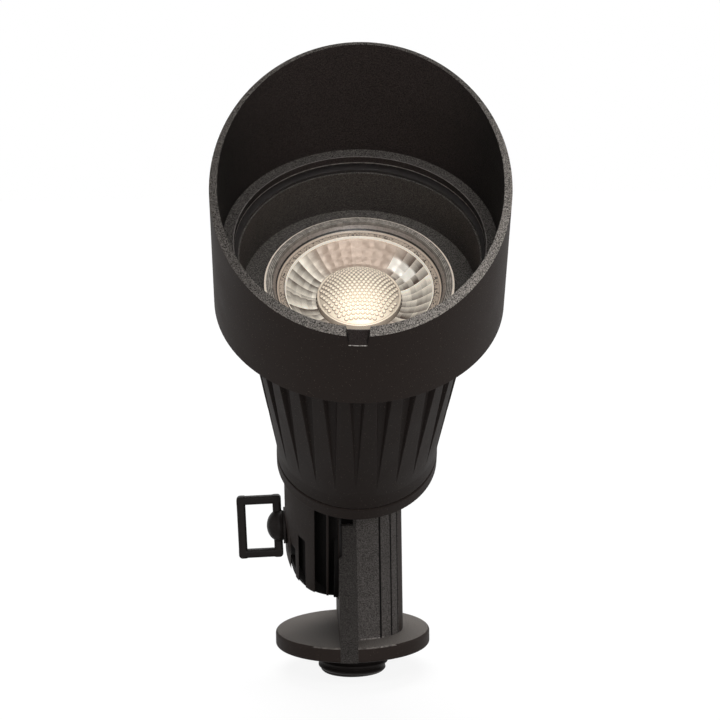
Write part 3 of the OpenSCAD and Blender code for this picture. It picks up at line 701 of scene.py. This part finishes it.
# Inside the housing: a bent steel bracket with two screws carries a ceramic two-pin socket
# with brass contacts, whose sleeved leads go down through the grommet.
def fired_clay(name, colour):
    """Fired, unglazed lamp ceramic: off-white, with pin-holes and a chalky surface."""
    made, tree, shader = new_finish(name, Roughness=0.62)
    speck = flakes(tree, 0.8 * mm, 0.05)
    tone = blended(tree, object_noise(tree, 5 * mm, 3.0), shade(colour, 0.88), colour)
    hole = maths(tree, "MULTIPLY", speck, 0.35)
    tree.links.new(blended(tree, hole, tone, linear(120, 112, 100)), shader.inputs["Base Color"])
    grainy(tree, shader, object_noise(tree, 0.5 * mm, 2.0), 0.04 * mm, 0.25 * mm, 0.5)
    return made


ceramic = fired_clay("lamp_ceramic", linear(224, 218, 204))
dress("socket_bracket", turned_metal("sheet_steel", linear(170, 170, 166), 0.34, 0.4 * mm, "Y"))
dress("bracket_screws", zinc)
dress("lamp_socket", ceramic)
dress("socket_contacts", brass)
lead_sleeve, tree, shader = new_finish("lead_sleeve", Roughness=0.7)
braid_scale = 2200.0
braid = add(tree, "ShaderNodeTexChecker", {
    "Vector": where(tree), "Scale": braid_scale}).outputs["Fac"]
tree.links.new(blended(tree, braid, linear(214, 208, 194), linear(186, 178, 160)),
               shader.inputs["Base Color"])
grainy(tree, shader, braid, 0.05 * mm, 0.1 * mm, 0.6)
dress("socket_leads", lead_sleeve)


# The lamp: a 50 mm reflector lamp, pushed into the socket by its two pins. Its moulded glass
# cup, with fine ribs and a bright outer line on its face, is cemented to a ceramic base. The
# cup glows faintly in its rib tones, and its outer line is a painted highlight that glows more.
rim_highlight_r = 24.6 * mm
rib_pitch = 0.42 * mm


def levels(node):
    """The lowest and highest level of a node along the head's axis, from the tilt axis."""
    reach = [(v.co - pivot).dot(head_axis) for v in nodes[node].data.vertices]
    return min(reach), max(reach)


face_level = levels("lamp_cup")[1]

lamp_glass, tree, shader = new_finish("lamp_glass", Transmission_Weight=0.25, IOR=1.47)
from_axis = from_head_axis(tree)
lines = maths(tree, "SINE", maths(tree, "MULTIPLY", from_axis, math.tau / rib_pitch))
streaks = maths(tree, "MULTIPLY_ADD", lines, 0.42, object_noise(tree, 1.4 * mm, 4.0, 0.65))
# The outer line of the face: a pale, glowing painted highlight.
at_face = maths(tree, "GREATER_THAN", along_head_axis(tree), face_level - 0.5 * mm)
rim_highlight_line = maths(tree, "MULTIPLY", at_face, maths(tree, "GREATER_THAN", from_axis, rim_highlight_r))
tone = blended(tree, streaks, linear(62, 58, 55), linear(206, 196, 185))
tone = blended(tree, rim_highlight_line, tone, linear(236, 222, 206))
tree.links.new(tone, shader.inputs["Base Color"])
tree.links.new(tone, shader.inputs["Emission Color"])
tree.links.new(maths(tree, "MULTIPLY_ADD", rim_highlight_line, 0.4, 0.14),
               shader.inputs["Emission Strength"])
tree.links.new(maths(tree, "MULTIPLY_ADD", streaks, 0.2, 0.1), shader.inputs["Roughness"])
grainy(tree, shader, streaks, 0.05 * mm, 0.2 * mm, 0.5)
dress("lamp_cup", lamp_glass)
dress("lamp_base", ceramic)
dress("lamp_pins", zinc)
phosphor, tree, shader = new_finish("phosphor_board", Roughness=0.6)
cloud = object_noise(tree, 1.5 * mm, 2.0)
tree.links.new(blended(tree, cloud, linear(236, 220, 150), linear(250, 240, 190)),
               shader.inputs["Base Color"])
dress("lamp_board", phosphor)


# The lamp's optic: a clear moulding set in the cup, of a ridged rim, a row of beads, a cone
# of facets and a pebbled dome. What the facets mirror is drawn as a weak glow: even above
# and below, mixed from facet to facet at the sides, and a window's glint at the upper right.
optic_r = 22.7 * mm
mirror_r = 19.4 * mm
centre_r = 11.2 * mm
mirror_at = -2.8 * mm
mirror_depth = 4.2 * mm
facet_n = 36
facet_rows = 4
facet_row_w = 1.4 * mm
window_bearing = 0.7
window_half = 0.28
window_r = 15.4 * mm
window_fade = 0.5 * mm

mirror_coat, tree, shader = new_finish("optic_mirror", Metallic=0.25, Roughness=0.42,
                                       Emission_Strength=0.5)
unturned = add(tree, "ShaderNodeVectorRotate", {
    "Vector": where(tree), "Center": tuple(head_place.translation), "Axis": (1, 0, 0),
    "Angle": -head_tilt}, rotation_type="AXIS_ANGLE").outputs[0]
from_centre = vectors(tree, "SUBTRACT", unturned, tuple(head_place.translation))
spot = add(tree, "ShaderNodeSeparateXYZ", {0: from_centre})
bearing = maths(tree, "ARCTAN2", spot.outputs["Y"], spot.outputs["X"])
turn_share = maths(tree, "MULTIPLY_ADD", bearing, facet_n / math.tau, facet_n + 0.5)
sector = maths(tree, "FLOOR", turn_share)
across_facet = maths(tree, "FRACT", turn_share)
row = maths(tree, "FLOOR", maths(tree, "DIVIDE", from_head_axis(tree), facet_row_w))
cell = add(tree, "ShaderNodeCombineXYZ", {"X": sector, "Y": row})
of_cell = add(tree, "ShaderNodeTexWhiteNoise", {"Vector": cell.outputs[0]}).outputs[0]
of_sector = add(tree, "ShaderNodeTexWhiteNoise", {"W": sector}, noise_dimensions="1D").outputs[0]
mixed = maths(tree, "MULTIPLY_ADD", of_cell, 0.3,
              maths(tree, "MULTIPLY_ADD", of_sector, 0.5, -0.2))
glint = maths(tree, "MULTIPLY_ADD", across_facet, 0.55, mixed, clamp=True)
sideways = maths(tree, "ABSOLUTE", maths(tree, "COSINE", bearing))
at_side = ramp(tree, sideways, 0.5, 0.85, 0.08)
facet_tone = blended(tree, glint, linear(70, 56, 48), linear(255, 246, 230))
facet_tone = blended(tree, at_side, linear(164, 144, 129), facet_tone)
mid_facet = maths(tree, "DIVIDE", maths(tree, "ADD", sector, -facet_n), facet_n / math.tau)
in_window = maths(tree, "COMPARE", mid_facet, window_bearing, window_half)
half_long = maths(tree, "MULTIPLY_ADD", of_sector, 0.8 * mm, 1.4 * mm)
from_middle = maths(tree, "ABSOLUTE", maths(tree, "ADD", from_head_axis(tree), -window_r))
fade = maths(tree, "MULTIPLY_ADD", maths(tree, "SUBTRACT", half_long, from_middle),
             1 / window_fade, 0.5, clamp=True)
patchy = maths(tree, "MULTIPLY", fade, maths(tree, "MULTIPLY_ADD", of_cell, 0.5, 0.5))
window = maths(tree, "MULTIPLY", in_window, patchy)
facet_tone = blended(tree, window, facet_tone, linear(255, 250, 240))
tree.links.new(facet_tone, shader.inputs["Base Color"])
tree.links.new(facet_tone, shader.inputs["Emission Color"])

# A ring: the piece, copied round the Z axis, with the seams between its copies closed.
ring_tree, given, result = new_tree("ring_of_copies", {"Count": count})
posts = add(ring_tree, "GeometryNodeMeshLine", {
    "Count": given.outputs["Count"], "Offset": (0, 0, 0)})
step = maths(ring_tree, "DIVIDE", math.tau, given.outputs["Count"])
angle = maths(ring_tree, "MULTIPLY", add(ring_tree, "GeometryNodeInputIndex").outputs[0], step)
spin = add(ring_tree, "ShaderNodeCombineXYZ", {"Z": angle})
turned_to = add(ring_tree, "FunctionNodeEulerToRotation", {0: spin.outputs[0]})
copies = add(ring_tree, "GeometryNodeInstanceOnPoints", {
    "Points": posts.outputs[0], "Instance": given.outputs["Geometry"],
    "Rotation": turned_to.outputs[0]})
real = add(ring_tree, "GeometryNodeRealizeInstances", {0: copies.outputs[0]})
merged = add(ring_tree, "GeometryNodeMergeByDistance", {
    "Geometry": real.outputs[0], "Distance": 1e-6})
painted = add(ring_tree, "GeometryNodeSetMaterial", {
    "Geometry": merged.outputs[0], "Material": given.outputs["Finish"]})
ring_tree.links.new(painted.outputs[0], result.inputs[0])


def facet_strip(name, steps=4, rows=20, bulge=0.22 * mm):
    """One strip of pillow-shaped facets on the mirror's cone, from its rim to its centre."""
    width = math.tau / facet_n
    corners = []
    for i in range(rows + 1):
        down = i / rows
        r = mirror_r + (centre_r + 0.3 * mm - mirror_r) * down
        z = mirror_at - mirror_depth * math.sin(down * math.pi / 2)
        for k in range(steps + 1):
            across = k / steps
            a = width * (across - 0.5)
            pillow = math.sin(math.pi * across) * abs(math.sin(math.pi * facet_rows * down))
            swell = bulge * pillow
            corners.append(((r - swell) * math.cos(a), (r - swell) * math.sin(a), z + swell))
    faces = [(i * (steps + 1) + k, i * (steps + 1) + k + 1, (i + 1) * (steps + 1) + k + 1,
              (i + 1) * (steps + 1) + k) for i in range(rows) for k in range(steps)]
    mesh = bpy.data.meshes.new(name)
    mesh.from_pydata(corners, [], faces)
    return mesh


def on_lamp(piece, depth=0.0):
    """Moves a piece's mesh from the Z axis to the lamp's face, and rides it on the head."""
    piece.data.transform(head_place @ Matrix.Translation((0, 0, face_level - depth)))
    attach(piece, "head")


mirror = placed("optic_mirror", facet_strip("optic_mirror"))
grown(mirror, ring_tree, count=facet_n, finish=mirror_coat)
smoothed(mirror.data, math.radians(20))
on_lamp(mirror)

optic_clear, tree, shader = new_finish("optic_clear", Transmission_Weight=0.3, IOR=1.49,
                                       Emission_Strength=0.4)
frost = object_noise(tree, 0.5 * mm, 3.0, 0.7)
tone = blended(tree, frost, linear(88, 80, 75), linear(150, 138, 128))
from_axis = from_head_axis(tree)
bead_band = (20.5 * mm, 0.6 * mm)
# Rings of the rim, each with the middle and half of its width, and its tone. The light and
# dark rings, with the moulding's weak glow, are painted reflections of the clear rim.
for middle, half, light in [(21.9 * mm, 0.16 * mm, linear(30, 27, 26)),
                            (21.5 * mm, 0.2 * mm, linear(190, 174, 158)),
                            (*bead_band, linear(172, 158, 144)),
                            (19.8 * mm, 0.1 * mm, linear(60, 53, 49)),
                            (19.5 * mm, 0.2 * mm, linear(255, 246, 232))]:
    tone = blended(tree, maths(tree, "COMPARE", from_axis, middle, half), tone, light)
specks = maths(tree, "MULTIPLY", flakes(tree, 0.5 * mm, 0.7),
               maths(tree, "COMPARE", from_axis, *bead_band))
tone = blended(tree, specks, tone, linear(44, 38, 35))
tree.links.new(tone, shader.inputs["Base Color"])
tree.links.new(tone, shader.inputs["Emission Color"])
tree.links.new(maths(tree, "MULTIPLY_ADD", frost, 0.2, 0.2), shader.inputs["Roughness"])
grainy(tree, shader, frost, 0.12 * mm, 0.2 * mm, 0.8)
bead_at = -2.4 * mm
rim_at = -0.8 * mm
ridge_n = 8
ridge_w = 0.16 * mm
ridge_h = 0.1 * mm
slope = (bead_at - rim_at) / (ridge_n * ridge_w)
rim_ridges = [(optic_r - ridge_w * k, rim_at + slope * ridge_w * k + ridge_h * (k % 2))
              for k in range(ridge_n)]
optic_outline = rim_ridges + [
    (optic_r - 1.4 * mm, bead_at), (mirror_r + 0.5 * mm, bead_at),
    (mirror_r + 0.35 * mm, bead_at + 0.25 * mm), (mirror_r + 0.1 * mm, bead_at + 0.2 * mm),
    (mirror_r - 0.1 * mm, mirror_at), (mirror_r, mirror_at - 1 * mm),
    (optic_r - 1.6 * mm, bead_at - 1 * mm), (optic_r - 0.2 * mm, -1.5 * mm)]
optic_rim = placed("optic_rim", turned("optic_rim", optic_outline, optic_clear, 192))
on_lamp(optic_rim)
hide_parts("lamp_optic")

bead_n = 120
bead_r = 0.42 * mm
bead_ring_r = mirror_r + 1.15 * mm
bead_shape = bmesh.new()
bmesh.ops.create_icosphere(bead_shape, subdivisions=2, radius=bead_r, matrix=(
    Matrix.Translation((bead_ring_r, 0, bead_at)) @ Matrix.Diagonal((1, 1, 0.6, 1))))
bead_mesh = bpy.data.meshes.new("optic_beads")
bead_shape.to_mesh(bead_mesh)
bead_shape.free()
beads = placed("optic_beads", bead_mesh)
grown(beads, ring_tree, count=bead_n, finish=optic_clear)
on_lamp(beads)

# The dome's finish is painted light: a glow brightest near a spot below its middle, and the pebbles' sides that
# turn away from it painted dark as painted shade.
centre_glow, tree, shader = new_finish("optic_centre", Roughness=0.18,
                                       Emission_Color=linear(255, 241, 218))
glow_at = head_place @ Vector((0, -6.0 * mm, face_level - 3 * mm))
from_glow = vectors(tree, "DISTANCE", where(tree), tuple(glow_at))
glow = ramp(tree, from_glow, 2 * mm, 14 * mm, 0.8, 0.26, interpolation_type="SMOOTHSTEP")
glow_way = tuple(head_axis.lerp(Vector((0, -1, 0)), 0.35).normalized())
toward_the_glow = ramp(tree, leaning(tree, glow_way), 0.55, 0.96)
pebble_tone = blended(tree, glow, linear(196, 176, 160), linear(244, 232, 212))
tree.links.new(blended(tree, toward_the_glow, linear(104, 84, 72), pebble_tone),
               shader.inputs["Base Color"])
spill = maths(tree, "MAXIMUM", toward_the_glow, maths(tree, "MULTIPLY", glow, glow))
tree.links.new(maths(tree, "MULTIPLY_ADD", spill, maths(tree, "ADD", glow, 0.16), 0.02),
               shader.inputs["Emission Strength"])

# A pebbled dome: a grid whose odd rows are shifted by half a pitch is lifted to the crown,
# cut to the radius, and set with one pebble at each point.
grid_span = 2.4
row_start = 1000.25
field_share = 0.97
pebble_tree, given, result = new_tree("pebbled_face", {
    "Radius": number, "Pitch": number, "Crown": number, "Power": number, "Pebble": number})
span = maths(pebble_tree, "MULTIPLY", given.outputs["Radius"], grid_span)
row_pitch = maths(pebble_tree, "MULTIPLY", given.outputs["Pitch"], math.sqrt(3) / 2)
across_n = maths(pebble_tree, "ROUND", maths(pebble_tree, "DIVIDE", span, given.outputs["Pitch"]))
along_n = maths(pebble_tree, "ROUND", maths(pebble_tree, "DIVIDE", span, row_pitch))
grid = add(pebble_tree, "GeometryNodeMeshGrid", {
    "Size X": maths(pebble_tree, "MULTIPLY", across_n, given.outputs["Pitch"]),
    "Size Y": maths(pebble_tree, "MULTIPLY", along_n, row_pitch),
    "Vertices X": maths(pebble_tree, "ADD", across_n, 1.0),
    "Vertices Y": maths(pebble_tree, "ADD", along_n, 1.0)})
spot = add(pebble_tree, "ShaderNodeSeparateXYZ", {
    0: add(pebble_tree, "GeometryNodeInputPosition").outputs[0]})
row = maths(pebble_tree, "ROUND", maths(pebble_tree, "ADD", maths(
    pebble_tree, "DIVIDE", spot.outputs["Y"], row_pitch), row_start))
odd = maths(pebble_tree, "MODULO", row, 2.0)
shifted = maths(pebble_tree, "MULTIPLY_ADD", maths(pebble_tree, "MULTIPLY", odd, 0.5),
                given.outputs["Pitch"], spot.outputs["X"])
from_axis = maths(pebble_tree, "SQRT", maths(
    pebble_tree, "MULTIPLY_ADD", shifted, shifted,
    maths(pebble_tree, "MULTIPLY", spot.outputs["Y"], spot.outputs["Y"])))
share = maths(pebble_tree, "DIVIDE", from_axis, given.outputs["Radius"])
steep = maths(pebble_tree, "POWER", share, given.outputs["Power"])
crown = maths(pebble_tree, "MULTIPLY", given.outputs["Crown"],
              maths(pebble_tree, "SUBTRACT", 1.0, steep))
put = add(pebble_tree, "ShaderNodeCombineXYZ", {"X": shifted, "Y": spot.outputs["Y"], "Z": crown})
domed = add(pebble_tree, "GeometryNodeSetPosition", {
    "Geometry": grid.outputs[0], "Position": put.outputs[0]})
place = add(pebble_tree, "GeometryNodeInputPosition").outputs[0]
away = vectors(pebble_tree, "LENGTH", vectors(pebble_tree, "MULTIPLY", place, (1, 1, 0)))
outside = add(pebble_tree, "FunctionNodeCompare", {
    0: away, 1: maths(pebble_tree, "MULTIPLY", given.outputs["Radius"], field_share)},
    operation="GREATER_THAN")
kept = add(pebble_tree, "GeometryNodeDeleteGeometry", {
    "Geometry": domed.outputs[0], "Selection": outside.outputs[0]})
pebble = add(pebble_tree, "GeometryNodeMeshIcoSphere", {
    "Radius": given.outputs["Pebble"], "Subdivisions": 2})
strewn = add(pebble_tree, "GeometryNodeInstanceOnPoints", {
    "Points": kept.outputs[0], "Instance": pebble.outputs[0], "Scale": (1, 1, 0.75)})
completed(pebble_tree, given, result, given.outputs["Geometry"], strewn.outputs[0])

centre_depth = 5.5 * mm
crown_h = 3.6 * mm
crown_power = 2.6
pebble_r = 0.64 * mm
pebble_pitch = 1.24 * mm
pebble_field_r = centre_r - 0.7 * mm
wall_h = 2.2 * mm
dome_steps = 12
dome = [(pebble_field_r * (1 - k / dome_steps),
         crown_h * (1 - (1 - k / dome_steps) ** crown_power)) for k in range(dome_steps + 1)]
dome_outline = [(centre_r, -wall_h), (centre_r, 0.05 * mm), (centre_r - 0.2 * mm, 0.2 * mm),
                (pebble_field_r + 0.1 * mm, 0.1 * mm)] + dome + [(0, -wall_h)]
centre = placed("optic_centre", turned("optic_centre", dome_outline, centre_glow, 96))
grown(centre, pebble_tree, radius=pebble_field_r, pitch=pebble_pitch, crown=crown_h,
      power=crown_power, pebble=pebble_r, finish=centre_glow)
on_lamp(centre, centre_depth)


# The lens: a disc of clear float glass with ground edges, on a dark rubber gasket. The
# cowl's ledge holds it down on the housing's mouth.
lens_low, lens_high = levels("lens")
lens_r = max(((v.co - head_place.translation).cross(head_axis)).length
             for v in nodes["lens"].data.vertices)


def clear_glass(name, tint, roughness):
    """Clear glass that lets the lamps' light through to what is behind it."""
    made, tree, shader = new_finish(name, Base_Color=tint, Transmission_Weight=1.0, IOR=1.45,
                                    Specular_IOR_Level=0.12)
    smear = object_noise(tree, 18 * mm, 3.0)
    tree.links.new(maths(tree, "MULTIPLY", smear, roughness), shader.inputs["Roughness"])
    path = add(tree, "ShaderNodeLightPath")
    veil = maths(tree, "MAXIMUM", path.outputs["Is Shadow Ray"], path.outputs["Is Diffuse Ray"])
    open_to_light = add(tree, "ShaderNodeBsdfTransparent", {"Color": (0.94, 0.95, 0.95, 1)})
    both = add(tree, "ShaderNodeMixShader", {
        0: veil, 1: shader.outputs[0], 2: open_to_light.outputs[0]})
    tree.links.new(both.outputs[0], tree.nodes["Material Output"].inputs["Surface"])
    return made


lens_finish = clear_glass("lens_glass", (0.98, 0.98, 0.98, 1), 0.03)
edge_finish = clear_glass("lens_ground_edge", (0.22, 0.21, 0.2, 1), 0.5)
chamfer = 0.4 * mm
lens_h = lens_high - lens_low
lens_outline = [(0, 0), (lens_r - chamfer, 0), (lens_r, chamfer), (lens_r, lens_h - chamfer),
                (lens_r - chamfer, lens_h), (0, lens_h)]
lens_mesh = turned("lens_glass", lens_outline, lens_finish, 192)
lens_mesh.materials.append(edge_finish)
# The chamfers and the edge between them are ground.
for face in lens_mesh.polygons:
    if Vector(face.center[:2]).length > lens_r - chamfer * 0.8:
        face.material_index = 1
lens = placed("lens_glass", lens_mesh, head_place @ Matrix.Translation((0, 0, lens_low)))
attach(lens, "lens_carrier")
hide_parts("lens")
dress("lens_gasket", black_rubber)


# The cowl: a turned and cut aluminium tube with an inner ledge. The slanted cut and the
# ledge were machined before the coat went on, so they are coarser. Their paler tones are
# painted highlights, and the inside is painted dark as painted shade, its back paler.
rim_slant = math.radians(22.1)
rim_normal = head_axis.copy()
rim_normal.rotate(Matrix.Rotation(rim_slant, 3, "X"))
ledge_in_r = 32.5 * mm
ledge_out_r = 35.7 * mm
inner_r = 37.8 * mm
notch_r = 37.95 * mm
notch_y = -97 * mm
lip_reach = (-84 * mm, -112 * mm)


def shaded_inner_wall(tree):
    """The cowl's inside, painted dark: a painted shade."""
    return maths(tree, "LESS_THAN", from_head_axis(tree), inner_r)


def lit_inner_back(tree):
    """The back of the inside, which looks forward out of the cowl, painted lighter: a painted light."""
    share = ramp(tree, leaning(tree, (0, -1, 0)), 0.35, 0.75)
    return maths(tree, "MULTIPLY", shaded_inner_wall(tree), share)


def cut_face(tree):
    """The slanted cut, coarser and painted paler: coarse grain and a painted highlight."""
    return facing(tree, tuple(rim_normal), 0.99)


def lit_cut_near_lip(tree):
    """The cut, painted paler more and more towards the lip and its right side: a painted highlight."""
    reach = vectors(tree, "DOT_PRODUCT", where(tree), (-0.45, 1, 0))
    return maths(tree, "MULTIPLY", cut_face(tree), ramp(tree, reach, *lip_reach))


def lit_ledge_face(tree):
    """The face of the ledge round the lens, painted paler: a painted light."""
    inside = maths(tree, "MULTIPLY", maths(tree, "LESS_THAN", from_head_axis(tree), ledge_out_r),
                   between(tree, "Y", notch_y, 0.0))
    return maths(tree, "MULTIPLY", forward(tree), inside)


def notch_edge_highlight(tree):
    """The wall's end in the drain notch at the lip, painted pale: a painted highlight."""
    in_wall = maths(tree, "GREATER_THAN", from_head_axis(tree), notch_r)
    at_notch = maths(tree, "MULTIPLY", in_wall, between(tree, "Y", -1.0, notch_y))
    return maths(tree, "MULTIPLY", forward(tree), at_notch)


def ledge_foot_highlight(tree):
    """A low strip round the ledge's bore, next to the lens, painted pale: a painted highlight."""
    inside = maths(tree, "LESS_THAN", from_head_axis(tree), ledge_in_r + 0.1 * mm)
    low = maths(tree, "LESS_THAN", along_head_axis(tree), lens_high + 0.3 * mm)
    return maths(tree, "MULTIPLY", inside, low)


def ledge_edge_highlight(tree):
    """The edge between the ledge's face and its bore, painted pale: a painted highlight."""
    inside = maths(tree, "LESS_THAN", from_head_axis(tree), ledge_in_r + 0.22 * mm)
    return maths(tree, "MULTIPLY", forward(tree), inside)


dress("cowl", cast_coat("cowl_coat", coat_colour, [
    (shaded_inner_wall, 0.3 * mm, linear(20, 18, 17), linear(37, 33, 31)),
    (lit_inner_back, 0.3 * mm, linear(34, 29, 28), linear(66, 58, 55)),
    (cut_face, 0.3 * mm, linear(12, 11, 10), linear(124, 118, 113)),
    (lit_cut_near_lip, 0.3 * mm, linear(26, 24, 22), linear(206, 198, 190)),
    (lit_ledge_face, 0.3 * mm, linear(20, 18, 17), linear(112, 107, 103)),
    (notch_edge_highlight, 0.5 * mm, linear(90, 86, 82), linear(210, 204, 198)),
    (ledge_foot_highlight, 1.2 * mm, linear(120, 114, 110), linear(170, 163, 158)),
    (ledge_edge_highlight, 1.2 * mm, linear(100, 95, 92), linear(140, 134, 130))]))
